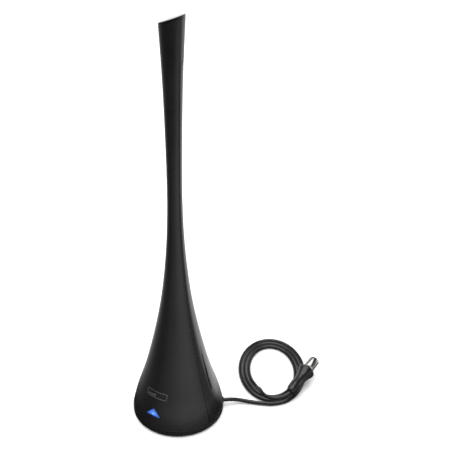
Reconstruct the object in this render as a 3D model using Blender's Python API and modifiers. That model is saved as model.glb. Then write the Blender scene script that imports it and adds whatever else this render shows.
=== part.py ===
"""Amplified indoor television aerial: a flared column on a round weighted base, with its cable and plug.

Metres, +Z up, front towards -Y. The origin is the centre of the base on the surface it stands on.
Angles "from the front" turn from -Y towards +X.
"""

from math import ceil, cos, pi, radians, sin, sqrt, tan

import bmesh
import bpy
from mathutils import Matrix, Vector

MM = 0.001
GAP = 0.3 * MM  # between neighbouring pieces

# Column: height and outer radius at the few stations that the flare needs
COLUMN = [
    (7.0, 37.9), (22.0, 34.35), (40.0, 28.75), (60.0, 23.4), (85.0, 17.87), (112.0, 12.97),
    (142.0, 9.28), (172.0, 6.97), (205.0, 5.9), (260.0, 6.33), (305.0, 7.5), (356.0, 9.92),
]
WALL = 1.4 * MM
SHELL_FOOT = 6.9 * MM
LID_THICKNESS = 2.0 * MM
TOP_HEIGHT = 351.2 * MM  # of the lid's slanted top, on the axis
SHELL_TOP = TOP_HEIGHT - LID_THICKNESS - GAP  # of the wall under the lid, on the axis
TOP_SLANT = radians(25)
TOP_HIGH_SIDE = radians(83)  # the lid's highest point, as an angle from the front
REAR_HALF_ANGLE = radians(101.5)  # the rear panel reaches this far each side of the back
ARCH_START = 315.0 * MM
ARCH_END = 325.0 * MM
SEAM_GAP = 0.4 * MM

# Base
BASE_RADIUS = 38.1 * MM
BASE_UNDERSIDE = 0.6 * MM
FLOOR_TOP = 2.8 * MM
RIM_TOP = 6.5 * MM
RIM_INSIDE = 35.4 * MM
FOOT_ROUNDING = 1.2 * MM
PAD_RADIUS = 5.0 * MM
PAD_THICKNESS = 0.9 * MM
PAD_CIRCLE = 27.0 * MM
BOSS_CIRCLE = 27.5 * MM
BOSS_RADIUS = 3.0 * MM
FRONT_BOSSES = (radians(-45), radians(45))
REAR_BOSSES = (radians(-158), radians(158))
SCREW_HOLE = 1.4 * MM
SHANK_RADIUS = 1.1 * MM

# Inside the base
BALLAST_RADIUS = 19.3 * MM
BALLAST_TOP = 11.1 * MM
BOARD_RADIUS = 24.0 * MM
BOARD_UNDERSIDE = 15.0 * MM
BOARD_THICKNESS = 1.6 * MM
BOARD_POSTS = 22.0 * MM
BOARD_POST_ANGLES = (radians(60), radians(180), radians(300))

# Element inside the column
STRIP_WIDTH = 6.0 * MM
STRIP_THICKNESS = 1.0 * MM
STRIP_FOOT = 19.2 * MM
STRIP_TOP = 335.0 * MM
FEED_HEIGHT = 172.0 * MM
COPPER = 0.3 * MM

# Lit triangular window
WINDOW_WIDTH = 14.4 * MM
WINDOW_HEIGHT = 6.85 * MM
WINDOW_FOOT = 16.1 * MM

# Cable. Its points are in millimetres in a layout turned by CABLE_TURN about the base's axis,
# so that the cable leaves along the layout's +X.
CABLE_TURN = radians(34.2)
CABLE_RADIUS = 1.65 * MM
GLAND_ANGLE = radians(3.3)  # within the layout
GLAND_HEIGHT = 5.2 * MM
GLAND_RADIUS = 2.6 * MM
GLAND_FACE = 38.6 * MM
CLAMP_DISTANCE = 31.6 * MM  # from the base's axis
LEAD = [
    (36.2, 2.1, 5.2), (39.8, 2.4, 5.2), (44.5, 3.2, 4.8), (50, 4.2, 3.6),
    (55.5, 4.3, 2.5), (61.5, 3.5, 1.85), (67.5, 2.4, 1.7),
]
COIL_CENTRE = (81.8, 43.95)
COIL_OUTSIDE = (29.0, 44.4)
COIL_INSIDE = (19.2, 32.2)
COIL_HEIGHT = 3.35
TAIL = [
    (71.97, 11.7, 5.35), (74.89, 7.52, 5.35), (78.82, 4.72, 5.4),
    (83.37, 3.46, 6.04), (87.98, 3.79, 6.74), (92.13, 5.6, 7.43),
]
INNER_LEAD = [
    (35.9, 2.07, 5.2), (33, 1.9, 5.2), (29.4, 1.7, 5.25), (27.5, 1.59, 6.7),
    (26.6, 1.53, 9.2), (26.2, 1.51, 12.5), (26.1, 1.51, 15.5), (24.9, 1.44, 18.2),
    (22.2, 1.28, 19.2), (19, 1.1, 19.3),
]
PLUG_START = (95.45, 8.6, 8.0)
PLUG_YAW = radians(57.6)
PLUG_RISE = radians(5.6)
PLUG_LENGTH = 44.0 * MM
SLEEVE_RADIUS = 4.75 * MM
SLEEVE_WALL = 0.45 * MM

COLOURS = {
    "satin_black": ((0.012, 0.012, 0.013), 0.42, 0.0),
    "gloss_black": ((0.008, 0.008, 0.009), 0.12, 0.0),
    "lamp_blue": ((0.10, 0.28, 0.95), 0.3, 0.0),
    "clear_plastic": ((0.8, 0.85, 0.9), 0.15, 0.0),
    "rubber": ((0.02, 0.02, 0.02), 0.85, 0.0),
    "zinc_steel": ((0.55, 0.55, 0.56), 0.35, 1.0),
    "cast_weight": ((0.20, 0.20, 0.21), 0.65, 1.0),
    "board_green": ((0.02, 0.16, 0.06), 0.45, 0.0),
    "copper": ((0.72, 0.36, 0.20), 0.3, 1.0),
    "tinplate": ((0.62, 0.62, 0.60), 0.3, 1.0),
    "component": ((0.03, 0.03, 0.035), 0.5, 0.0),
    "foam": ((0.10, 0.10, 0.11), 0.95, 0.0),
    "cable_black": ((0.015, 0.015, 0.015), 0.38, 0.0),
    "nickel": ((0.75, 0.74, 0.72), 0.18, 1.0),
    "nylon": ((0.85, 0.84, 0.80), 0.5, 0.0),
}


# ---------------------------------------------------------------- scene and materials


def clear_scene():
    for obj in list(bpy.data.objects):
        bpy.data.objects.remove(obj, do_unlink=True)


def new_collection(name):
    collection = bpy.data.collections.new(name)
    bpy.context.scene.collection.children.link(collection)
    return collection


def make_material(name):
    colour, roughness, metallic = COLOURS[name]
    material = bpy.data.materials.new(name)
    material.use_nodes = True
    shader = material.node_tree.nodes["Principled BSDF"]
    shader.inputs["Base Color"].default_value = (*colour, 1.0)
    shader.inputs["Roughness"].default_value = roughness
    shader.inputs["Metallic"].default_value = metallic
    return material


clear_scene()
PARTS = new_collection("indoor_aerial")
CUTTERS = new_collection("cutters")
MATERIALS = {name: make_material(name) for name in COLOURS}


def add_object(name, data, material=None, matrix=None):
    """A named part, or a helper among the cutters when it has no material."""
    obj = bpy.data.objects.new(name, data)
    if material:
        data.materials.append(MATERIALS[material])
        PARTS.objects.link(obj)
    else:
        obj.hide_render = True
        obj.display_type = "WIRE"
        CUTTERS.objects.link(obj)
    if matrix is not None:
        obj.matrix_world = matrix
    return obj


def mesh_from(bm, name, smooth=True):
    bmesh.ops.recalc_face_normals(bm, faces=bm.faces)
    mesh = bpy.data.meshes.new(name)
    bm.to_mesh(mesh)
    bm.free()
    if smooth:
        mesh.shade_smooth()
        mesh.set_sharp_from_angle(angle=radians(35))
    return mesh


def combine(obj, other, operation):
    modifier = obj.modifiers.new(f"{operation.lower()}_{other.name}", "BOOLEAN")
    modifier.operation = operation
    modifier.object = other


# ---------------------------------------------------------------- general shapes


def turned(name, profile, material=None, matrix=None, steps=24, closed=False):
    """A profile of (radius, height) in metres, turned about Z. It runs down its outer side."""
    bm = bmesh.new()
    verts = [bm.verts.new((radius, 0, height)) for radius, height in profile]
    pairs = list(zip(verts, verts[1:]))
    if closed:
        pairs.append((verts[-1], verts[0]))
    for a, b in pairs:
        bm.edges.new((a, b))
    mesh = bpy.data.meshes.new(name)
    bm.to_mesh(mesh)
    bm.free()
    obj = add_object(name, mesh, material, matrix)
    screw = obj.modifiers.new("turn", "SCREW")
    screw.axis = "Z"
    screw.steps = screw.render_steps = steps
    screw.use_merge_vertices = True
    screw.merge_threshold = 1e-5
    screw.use_smooth_shade = True
    flat = obj.modifiers.new("join_flat_faces", "DECIMATE")
    flat.decimate_type = "DISSOLVE"
    flat.angle_limit = radians(0.1)
    return obj


def rod(name, radius, low, high, material=None, place=(0, 0), steps=16):
    """A plain upright cylinder."""
    profile = [(0, high), (radius, high), (radius, low), (0, low)]
    return turned(name, profile, material, Matrix.Translation((*place, 0)), steps)


def block(name, size, centre, material=None, taper=None):
    """A box. taper gives the width and height of its -Y face, and how far that face drops."""
    bm = bmesh.new()
    bmesh.ops.create_cube(bm, size=1.0)
    for vert in bm.verts:
        x, y, z = vert.co
        if taper and y < 0:
            vert.co = (x * taper[0], y * size[1], z * taper[1] - taper[2])
        else:
            vert.co = (x * size[0], y * size[1], z * size[2])
    mesh = mesh_from(bm, name, smooth=False)
    return add_object(name, mesh, material, Matrix.Translation(centre))


def around(radius, angle):
    """The plan position at an angle from the front."""
    return radius * sin(angle), -radius * cos(angle)


def screw_profile(top, head_height, head_radius, tip):
    """A pan-head screw pointing down, as a profile to turn."""
    return [
        (0, top), (head_radius * 0.75, top), (head_radius, top - head_height * 0.5),
        (head_radius, top - head_height), (SHANK_RADIUS, top - head_height),
        (SHANK_RADIUS, tip + SHANK_RADIUS), (0, tip),
    ]


def smooth_line(points, spacing):
    """Points about a spacing apart along a Catmull-Rom curve through the given ones."""
    points = [Vector(p) for p in points]
    ends = [2 * points[0] - points[1], *points, 2 * points[-1] - points[-2]]
    line = []
    for p0, p1, p2, p3 in zip(ends, ends[1:], ends[2:], ends[3:]):
        count = max(1, ceil((p2 - p1).length / spacing))
        for k in range(count):
            t = k / count
            line.append(
                0.5 * (2 * p1 + (p2 - p0) * t + (2 * p0 - 5 * p1 + 4 * p2 - p3) * t**2
                       + (3 * p1 - p0 - 3 * p2 + p3) * t**3)
            )
    return [*line, points[-1]]


def tube(name, points, radius, material):
    """A round tube through world points, with its ends closed."""
    curve = bpy.data.curves.new(name, "CURVE")
    curve.dimensions = "3D"
    spline = curve.splines.new("POLY")
    spline.points.add(len(points) - 1)
    for place, point in zip(points, spline.points):
        point.co = (*place, 1)
    curve.bevel_depth = radius
    curve.bevel_resolution = 2
    curve.use_fill_caps = True
    return add_object(name, curve, material)


# ---------------------------------------------------------------- column


def outer_radius(height):
    """The column's radius, on a smooth curve through its stations."""
    h = height / MM
    last = len(COLUMN) - 2
    i = next((k for k in range(last) if h < COLUMN[k + 1][0]), last)

    def slope(k):
        a, b = COLUMN[max(k - 1, 0)], COLUMN[min(k + 1, last + 1)]
        return (b[1] - a[1]) / (b[0] - a[0])

    (h0, r0), (h1, r1) = COLUMN[i], COLUMN[i + 1]
    run = h1 - h0
    t = (h - h0) / run
    value = (
        r0 * (2 * t**3 - 3 * t**2 + 1) + r1 * (3 * t**2 - 2 * t**3)
        + slope(i) * run * (t**3 - 2 * t**2 + t) + slope(i + 1) * run * (t**3 - t**2)
    )
    return value * MM


def seam_half_angle(height, inset):
    """Half the rear opening's angle, made smaller by an inset along the surface."""
    end = ARCH_END - inset
    rise = min(max((height - ARCH_START) / (end - ARCH_START), 0.0), 1.0)
    angle = REAR_HALF_ANGLE * sqrt(1 - rise**2)
    return max(angle - inset / outer_radius(height), 0.0)


def body_rows():
    """Heights of the column's rows, closer together where it flares."""
    return [SHELL_FOOT + (ARCH_START - SHELL_FOOT) * (k / 18) ** 1.25 for k in range(19)]


def arch_rows(end, count):
    return [ARCH_START + (end - ARCH_START) * sin(pi / 2 * k / count) for k in range(1, count + 1)]


def slanted(x, y, z, share=1.0):
    """A point of the level column, moved along its flare to a share of the top's slant."""
    high_x, high_y = around(tan(TOP_SLANT), TOP_HIGH_SIDE)
    flare = outer_radius(z + share * (x * high_x + y * high_y)) / outer_radius(z)
    x, y = x * flare, y * flare
    return x, y, z + share * (x * high_x + y * high_y)


def wall_mesh(name, rows, columns, middle, half_angle, top_share=None):
    """A shell of the column: an open grid bent round it, then thickened inwards."""
    bm = bmesh.new()
    bmesh.ops.create_grid(bm, x_segments=columns, y_segments=len(rows) - 1, size=1.0)
    for vert in bm.verts:
        across = vert.co.x
        row = round((vert.co.y + 1) / 2 * (len(rows) - 1))
        height = rows[row]
        angle = middle + across * half_angle(height)
        vert.co = (*around(outer_radius(height), angle), height)
    bmesh.ops.remove_doubles(bm, verts=bm.verts, dist=1e-6)
    outside = set(bm.verts)
    bmesh.ops.extrude_face_region(bm, geom=bm.faces[:], use_keep_orig=True)
    for vert in set(bm.verts) - outside:
        flat = Vector((vert.co.x, vert.co.y))
        flat *= 1 - WALL / flat.length
        vert.co.xy = flat
    if top_share:
        for vert in bm.verts:
            vert.co = slanted(*vert.co, top_share(vert.co.z))
    return mesh_from(bm, name)


def make_core():
    """The column's middle surface as a solid, which trims the bosses inside it."""
    heights = [(40 - k * 3.3) * MM for k in range(11)]
    profile = [(0, 56 * MM), (outer_radius(56 * MM) - WALL / 2, 56 * MM)]
    profile += [(outer_radius(h) - WALL / 2, h) for h in heights]
    profile += [(36 * MM, 3 * MM), (0, 3 * MM)]
    return turned("core", profile, steps=48)


def add_bosses(shell, core, angles):
    for k, angle in enumerate(angles):
        place = around(BOSS_CIRCLE, angle)
        side = f"{shell.name}_{k + 1}"
        boss = rod(f"boss_{side}", BOSS_RADIUS, FLOOR_TOP + GAP, 54 * MM, place=place)
        combine(boss, core, "INTERSECT")
        combine(shell, boss, "UNION")
        hole = rod(f"boss_hole_{side}", SCREW_HOLE, 1 * MM, 12.5 * MM, place=place, steps=12)
        combine(shell, hole, "DIFFERENCE")


def window_prism(name, offset):
    """The window's triangle, carried along Y and grown by an offset on all three sides."""
    slant = sqrt((WINDOW_WIDTH / 2) ** 2 + WINDOW_HEIGHT**2)
    inradius = WINDOW_WIDTH * WINDOW_HEIGHT / (WINDOW_WIDTH + 2 * slant)
    grow = (inradius + offset) / inradius
    bm = bmesh.new()
    bmesh.ops.create_cone(
        bm, cap_ends=True, segments=3, radius1=1.0, radius2=1.0, depth=20 * MM,
        matrix=Matrix.Rotation(pi / 2, 4, "X"),
    )
    top = max(vert.co.z for vert in bm.verts)
    foot = min(vert.co.z for vert in bm.verts)
    half = max(vert.co.x for vert in bm.verts)
    for vert in bm.verts:
        up = (vert.co.z - foot) / (top - foot) * WINDOW_HEIGHT - inradius
        vert.co.x *= WINDOW_WIDTH / 2 / half * grow
        vert.co.z = up * grow
    mesh = mesh_from(bm, name, smooth=False)
    place = (0, -outer_radius(WINDOW_FOOT), WINDOW_FOOT + inradius)
    return add_object(name, mesh, matrix=Matrix.Translation(place))


def make_shells(gland_bore):
    core = make_core()
    rows = body_rows() + arch_rows(ARCH_END, 7)
    neck = [ARCH_END + (SHELL_TOP - ARCH_END) * k / 4 for k in range(1, 5)]

    def front_half_angle(height):
        return pi - seam_half_angle(height, -SEAM_GAP / 2) if height < ARCH_END else pi

    def slant_share(height):
        return max(0.0, (height - ARCH_END) / (SHELL_TOP - ARCH_END))

    front_mesh = wall_mesh("front_shell", rows + neck, 24, 0.0, front_half_angle, slant_share)
    front = add_object("front_shell", front_mesh, "satin_black")
    combine(front, window_prism("window_cut", GAP), "DIFFERENCE")
    add_bosses(front, core, FRONT_BOSSES)

    rear_end = ARCH_END - SEAM_GAP / 2
    rear_mesh = wall_mesh(
        "rear_shell", body_rows() + arch_rows(rear_end, 7), 24, pi,
        lambda height: seam_half_angle(height, SEAM_GAP / 2),
    )
    rear = add_object("rear_shell", rear_mesh, "gloss_black")
    add_bosses(rear, core, REAR_BOSSES)
    combine(rear, gland_bore, "DIFFERENCE")

    patch_rows = [(14.6 + 1.4 * k) * MM for k in range(8)]
    patch = wall_mesh("lamp_window", patch_rows, 8, 0.0, lambda height: radians(18))
    window = add_object("lamp_window", patch, "lamp_blue")
    combine(window, window_prism("window_shape", 0.0), "INTERSECT")


def make_top_cap():
    """A lid over the slanted end of the wall, following its flare, with a skirt inside it."""
    radius = outer_radius(TOP_HEIGHT) - 0.05 * MM
    skirt = outer_radius(TOP_HEIGHT - 11 * MM) - WALL - GAP
    foot = -5.0 * MM
    profile = [
        (0, 0), (radius - 0.4 * MM, 0), (radius, -0.4 * MM), (radius, -LID_THICKNESS),
        (skirt, -LID_THICKNESS), (skirt, foot), (skirt - 1 * MM, foot),
        (skirt - 1 * MM, -LID_THICKNESS), (0, -LID_THICKNESS),
    ]
    cap = turned("top_cap", profile, "gloss_black", steps=32)
    graph = bpy.context.evaluated_depsgraph_get()
    mesh = bpy.data.meshes.new_from_object(cap.evaluated_get(graph))
    for vert in mesh.vertices:
        x, y, z = vert.co
        vert.co = slanted(x, y, TOP_HEIGHT + z)
    cap.modifiers.clear()
    cap.data = mesh


# ---------------------------------------------------------------- base


def make_base_tray(gland_bore):
    """The floor and rim of the base in one moulding, with its posts, recesses and holes."""
    arc = [
        (BASE_RADIUS - FOOT_ROUNDING * (1 - cos(a)), BASE_UNDERSIDE + FOOT_ROUNDING * (1 - sin(a)))
        for a in (radians(18 * k) for k in range(6))
    ]
    profile = [
        (0, FLOOR_TOP), (RIM_INSIDE, FLOOR_TOP), (RIM_INSIDE, RIM_TOP),
        (BASE_RADIUS - 0.5 * MM, RIM_TOP), (BASE_RADIUS, RIM_TOP - 0.5 * MM), *arc,
        (0, BASE_UNDERSIDE),
    ]
    tray = turned("base_tray", profile, "gloss_black", steps=64)
    overlap = 0.6 * MM
    for k, angle in enumerate(BOARD_POST_ANGLES):
        place = around(BOARD_POSTS, angle)
        top = BOARD_UNDERSIDE - GAP
        post = rod(f"board_post_{k + 1}", 2.2 * MM, FLOOR_TOP - overlap, top, place=place)
        bore = rod(f"board_post_bore_{k + 1}", SCREW_HOLE, 6 * MM, 17 * MM, place=place, steps=12)
        combine(post, bore, "DIFFERENCE")
        combine(tray, post, "UNION")
    centre_post = rod("ballast_post", 4.0 * MM, FLOOR_TOP - overlap, 5.5 * MM, steps=20)
    combine(tray, centre_post, "UNION")
    combine(tray, rod("ballast_post_bore", SCREW_HOLE, 3.2 * MM, 8 * MM, steps=12), "DIFFERENCE")
    for k, place in enumerate(clamp_screw_places()):
        post = rod(f"clamp_post_{k + 1}", 1.9 * MM, FLOOR_TOP - overlap, 6.85 * MM, place=place)
        combine(tray, post, "UNION")
        bore = rod(f"clamp_bore_{k + 1}", SCREW_HOLE, 3.4 * MM, 9 * MM, place=place, steps=12)
        combine(tray, bore, "DIFFERENCE")
    for k in range(4):
        place = around(PAD_CIRCLE, k * pi / 2)
        recess = rod(f"pad_recess_{k + 1}", PAD_RADIUS + GAP, 0, PAD_THICKNESS + GAP, place=place, steps=20)
        combine(tray, recess, "DIFFERENCE")
    for k, angle in enumerate(FRONT_BOSSES + REAR_BOSSES):
        place = around(BOSS_CIRCLE, angle)
        profile = [
            (0, 4 * MM), (SCREW_HOLE, 4 * MM), (SCREW_HOLE, 1.9 * MM),
            (2.7 * MM, 1.9 * MM), (2.7 * MM, 0), (0, 0),
        ]
        hole = turned(f"screw_hole_{k + 1}", profile, matrix=Matrix.Translation((*place, 0)), steps=16)
        combine(tray, hole, "DIFFERENCE")
    combine(tray, gland_bore, "DIFFERENCE")


def make_base_fasteners():
    for k in range(4):
        place = around(PAD_CIRCLE, k * pi / 2)
        rod(f"foot_pad_{k + 1}", PAD_RADIUS, 0, PAD_THICKNESS, "rubber", place, steps=20)
    flip = Matrix.Rotation(pi, 4, "X")
    for k, angle in enumerate(FRONT_BOSSES + REAR_BOSSES):
        place = Matrix.Translation((*around(BOSS_CIRCLE, angle), 0))
        profile = screw_profile(-0.75 * MM, 0.8 * MM, 2.3 * MM, -11.5 * MM)
        turned(f"base_screw_{k + 1}", profile, "zinc_steel", place @ flip, steps=12)


def make_ballast():
    profile = [
        (1.9 * MM, BALLAST_TOP), (BALLAST_RADIUS - 1 * MM, BALLAST_TOP),
        (BALLAST_RADIUS, BALLAST_TOP - 1 * MM),
        (BALLAST_RADIUS, FLOOR_TOP + GAP + 0.5 * MM), (BALLAST_RADIUS - 0.5 * MM, FLOOR_TOP + GAP),
        (4.4 * MM, FLOOR_TOP + GAP), (4.4 * MM, 5.9 * MM), (1.9 * MM, 5.9 * MM),
    ]
    turned("ballast_weight", profile, "cast_weight", steps=40, closed=True)
    screw = screw_profile(13.0 * MM, 1.6 * MM, 3.2 * MM, 3.6 * MM)
    turned("ballast_screw", screw, "zinc_steel", steps=12)


def make_amplifier():
    board_top = BOARD_UNDERSIDE + BOARD_THICKNESS
    seat = board_top + GAP
    board = rod("amplifier_board", BOARD_RADIUS, BOARD_UNDERSIDE, board_top, "board_green", steps=40)
    for k, angle in enumerate(BOARD_POST_ANGLES):
        place = around(BOARD_POSTS, angle)
        hole = rod(f"board_hole_{k + 1}", SCREW_HOLE, 14 * MM, 18 * MM, place=place, steps=12)
        combine(board, hole, "DIFFERENCE")
        profile = screw_profile(seat + 1.2 * MM, 1.2 * MM, 1.9 * MM, 8.0 * MM)
        turned(f"board_screw_{k + 1}", profile, "zinc_steel", Matrix.Translation((*place, 0)), steps=12)
    can_centre = (-8 * MM, 9.5 * MM, seat + 2.5 * MM)
    can = block("shield_can", (16 * MM, 12 * MM, 5 * MM), can_centre, "tinplate")
    hollow = Vector(can_centre) - Vector((0, 0, 0.4 * MM))
    inside = block("can_inside", (15.2 * MM, 11.2 * MM, 5 * MM), hollow)
    combine(can, inside, "DIFFERENCE")
    block("amplifier_chip", (4 * MM, 4 * MM, 1.2 * MM), (-11 * MM, 10 * MM, seat + 0.6 * MM), "component")
    block("output_capacitor", (2 * MM, 3.2 * MM, 1.6 * MM), (-3.2 * MM, 8 * MM, seat + 0.8 * MM), "nylon")
    ring = [
        (1.0 * MM, seat + 2.4 * MM), (2.0 * MM, seat + 2.4 * MM), (2.4 * MM, seat + 1.9 * MM),
        (2.4 * MM, seat + 0.5 * MM), (2.0 * MM, seat), (1.0 * MM, seat),
    ]
    ring_place = Matrix.Translation((-5 * MM, 12.4 * MM, 0))
    turned("filter_coil", ring, "copper", ring_place, steps=16, closed=True)
    socket = block("board_socket", (10 * MM, 5 * MM, 5.5 * MM), (0, 0, seat + 2.75 * MM), "nylon")
    slot_size = (STRIP_WIDTH + 2 * GAP, STRIP_THICKNESS + 2 * GAP, 6 * MM)
    slot = block("socket_slot", slot_size, (0, 0, STRIP_FOOT - GAP + 3 * MM))
    combine(socket, slot, "DIFFERENCE")
    make_lamp()


def make_lamp():
    """A small side-firing lamp on the board's front edge, and the guide to the window."""
    height = BOARD_UNDERSIDE + BOARD_THICKNESS + GAP + 1.4 * MM
    led = block("lamp_led", (5 * MM, 3.4 * MM, 2.8 * MM), (0, -21.8 * MM, height), "clear_plastic")
    dome = [
        (0, 1.9 * MM), (0.9 * MM, 1.5 * MM), (1.25 * MM, 0.8 * MM), (1.25 * MM, -0.6 * MM), (0, -0.6 * MM),
    ]
    facing_front = Matrix.Translation((0, -23.5 * MM, height)) @ Matrix.Rotation(pi / 2, 4, "X")
    combine(led, turned("led_lens", dome, matrix=facing_front, steps=12), "UNION")
    window_end = (10 * MM, 4.6 * MM, 0)
    guide_size = (4 * MM, 6.4 * MM, 3 * MM)
    block("light_guide", guide_size, (0, -29.0 * MM, height), "clear_plastic", taper=window_end)


# ---------------------------------------------------------------- element


def make_element():
    middle = (STRIP_FOOT + STRIP_TOP) / 2
    strip_size = (STRIP_WIDTH, STRIP_THICKNESS, STRIP_TOP - STRIP_FOOT)
    block("element_board", strip_size, (0, 0, middle), "board_green")
    front = -(STRIP_THICKNESS / 2 + GAP + COPPER / 2)
    spans = {
        "lower_arm": (26 * MM, FEED_HEIGHT - 2 * MM),
        "upper_arm": (FEED_HEIGHT + 2 * MM, STRIP_TOP - 2 * MM),
    }
    for name, (low, high) in spans.items():
        block(name, (STRIP_WIDTH - 1 * MM, COPPER, high - low), (0, front, (low + high) / 2), "copper")
    for name, low, high in (("lower_spacer", 100 * MM, 108 * MM), ("upper_spacer", 296 * MM, 303 * MM)):
        clear = WALL + 2 * GAP
        below = outer_radius(low) - clear
        above = below if name == "upper_spacer" else outer_radius(high) - clear
        profile = [(0, high), (above, high), (below, low), (0, low)]
        spacer = turned(name, profile, "foam", steps=24)
        depth = STRIP_THICKNESS + COPPER + 4 * GAP
        slot = block(
            f"{name}_slot", (STRIP_WIDTH + 2 * GAP, depth, 2 * (high - low)),
            (0, front / 2, (low + high) / 2),
        )
        combine(spacer, slot, "DIFFERENCE")


# ---------------------------------------------------------------- cable and plug


LAYOUT = Matrix.Rotation(CABLE_TURN, 4, "Z")


def in_world(point):
    return LAYOUT @ (Vector(point) * MM)


def gland_matrix():
    """Its local +Z runs outwards along the cable's exit."""
    outwards = Matrix.Rotation(GLAND_ANGLE, 4, "Z") @ Matrix.Rotation(pi / 2, 4, "Y")
    return LAYOUT @ Matrix.Translation((0, 0, GLAND_HEIGHT)) @ outwards


def clamp_screw_places():
    turn = LAYOUT @ Matrix.Rotation(GLAND_ANGLE, 4, "Z")
    return [(turn @ Vector((CLAMP_DISTANCE, side * 4.3 * MM, 0))).xy for side in (-1, 1)]


def make_gland_bore():
    profile = [(0, 44 * MM), (GLAND_RADIUS + GAP, 44 * MM), (GLAND_RADIUS + GAP, 31 * MM), (0, 31 * MM)]
    return turned("gland_bore", profile, matrix=gland_matrix(), steps=20)


def make_gland():
    bore = CABLE_RADIUS + GAP
    profile = [
        (bore, GLAND_FACE), (GLAND_RADIUS - 0.3 * MM, GLAND_FACE), (GLAND_RADIUS, GLAND_FACE - 0.3 * MM),
        (GLAND_RADIUS, 34.0 * MM), (bore, 34.0 * MM),
    ]
    turned("cable_gland", profile, "rubber", gland_matrix(), steps=20, closed=True)


def make_cable_clamp():
    turn = LAYOUT @ Matrix.Rotation(GLAND_ANGLE, 4, "Z")
    low, high = 7.15 * MM, 9.0 * MM
    clamp = block("cable_clamp", (3.6 * MM, 13 * MM, high - low), (0, 0, 0), "nylon")
    clamp.matrix_world = turn @ Matrix.Translation((CLAMP_DISTANCE, 0, (low + high) / 2))
    for k, place in enumerate(clamp_screw_places()):
        hole = rod(f"clamp_hole_{k + 1}", SCREW_HOLE, 6 * MM, 10 * MM, place=place, steps=12)
        combine(clamp, hole, "DIFFERENCE")
        profile = screw_profile(high + GAP + 1.1 * MM, 1.1 * MM, 1.9 * MM, 3.9 * MM)
        turned(f"clamp_screw_{k + 1}", profile, "zinc_steel", Matrix.Translation((*place, 0)), steps=12)


def make_coil():
    """The outer shape of the flat oval coil: an oval plate with an oval opening."""
    curve = bpy.data.curves.new("cable_coil", "CURVE")
    curve.dimensions = "2D"
    curve.fill_mode = "BOTH"
    curve.extrude = COIL_HEIGHT / 2 * MM
    for half_width, half_depth in (COIL_OUTSIDE, COIL_INSIDE):
        spline = curve.splines.new("POLY")
        count = 48
        spline.points.add(count - 1)
        spline.use_cyclic_u = True
        for k, point in enumerate(spline.points):
            angle = 2 * pi * k / count
            point.co = (half_width * cos(angle) * MM, half_depth * sin(angle) * MM, 0, 1)
    centre = Vector((*COIL_CENTRE, COIL_HEIGHT / 2)) * MM
    add_object("cable_coil", curve, "cable_black", LAYOUT @ Matrix.Translation(centre))


def plug_matrix():
    """Its local +Z runs from the cable's end of the plug to the tip."""
    direction = Matrix.Rotation(PLUG_YAW, 4, "Z") @ Matrix.Rotation(pi / 2 - PLUG_RISE, 4, "Y")
    return LAYOUT @ Matrix.Translation(Vector(PLUG_START) * MM) @ direction


def make_cable():
    spacing = 3.5 * MM
    plug_axis = plug_matrix().to_3x3() @ Vector((0, 0, 1))
    start = plug_matrix().to_translation()
    tail = [in_world(p) for p in TAIL] + [start, start + plug_axis * 8 * MM]
    tube("cable_lead", smooth_line([in_world(p) for p in LEAD], spacing), CABLE_RADIUS, "cable_black")
    tube("cable_tail", smooth_line(tail, spacing), CABLE_RADIUS, "cable_black")
    tube("inner_lead", smooth_line([in_world(p) for p in INNER_LEAD], spacing), CABLE_RADIUS, "cable_black")
    make_coil()


def make_plug():
    place = plug_matrix()
    bore = CABLE_RADIUS + GAP
    face = 30.0 * MM
    body = [
        (SLEEVE_RADIUS + GAP, face), (6.9 * MM, face), (7.4 * MM, face - 0.6 * MM),
        (7.4 * MM, face - 1.8 * MM),
        (6.2 * MM, 25.0 * MM), (5.1 * MM, 20.5 * MM), (4.8 * MM, 15.5 * MM), (5.0 * MM, 9.0 * MM),
        (4.7 * MM, 4.0 * MM), (3.6 * MM, 1.0 * MM), (2.9 * MM, 0), (bore, 0), (bore, 9.0 * MM),
        (3.7 * MM, 9.0 * MM), (3.7 * MM, 21.0 * MM), (SLEEVE_RADIUS + GAP, 22.0 * MM),
    ]
    turned("plug_body", body, "gloss_black", place, steps=28, closed=True)
    inner = SLEEVE_RADIUS - SLEEVE_WALL
    sleeve = [
        (inner, PLUG_LENGTH), (SLEEVE_RADIUS, PLUG_LENGTH), (SLEEVE_RADIUS, 22.4 * MM), (inner, 22.4 * MM),
    ]
    turned("plug_sleeve", sleeve, "nickel", place, steps=28, closed=True)
    insulator = [
        (1.5 * MM, 33 * MM), (inner - GAP, 33 * MM), (inner - GAP, 24 * MM), (1.5 * MM, 24 * MM),
    ]
    turned("plug_insulator", insulator, "nylon", place, steps=20, closed=True)
    pin = [
        (0, 42.5 * MM), (0.8 * MM, 42.2 * MM), (1.2 * MM, 41.4 * MM), (1.2 * MM, 20.5 * MM),
        (0, 20.5 * MM),
    ]
    turned("plug_pin", pin, "nickel", place, steps=12)
    ferrule = [
        (bore, 19.5 * MM), (2.8 * MM, 19.5 * MM), (2.8 * MM, 16 * MM), (3.3 * MM, 15.6 * MM),
        (3.3 * MM, 9.6 * MM), (bore, 9.6 * MM),
    ]
    turned("plug_ferrule", ferrule, "nickel", place, steps=16, closed=True)


def main():
    gland_bore = make_gland_bore()
    make_shells(gland_bore)
    make_top_cap()
    make_base_tray(gland_bore)
    make_base_fasteners()
    make_ballast()
    make_amplifier()
    make_element()
    make_gland()
    make_cable_clamp()
    make_cable()
    make_plug()


main()
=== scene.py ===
"""Looks of the amplified indoor television aerial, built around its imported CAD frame."""

from math import ceil, cos, pi, radians, sin, sqrt, tan

import bmesh
import bpy
import numpy as np
from mathutils import Matrix, Vector


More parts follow.
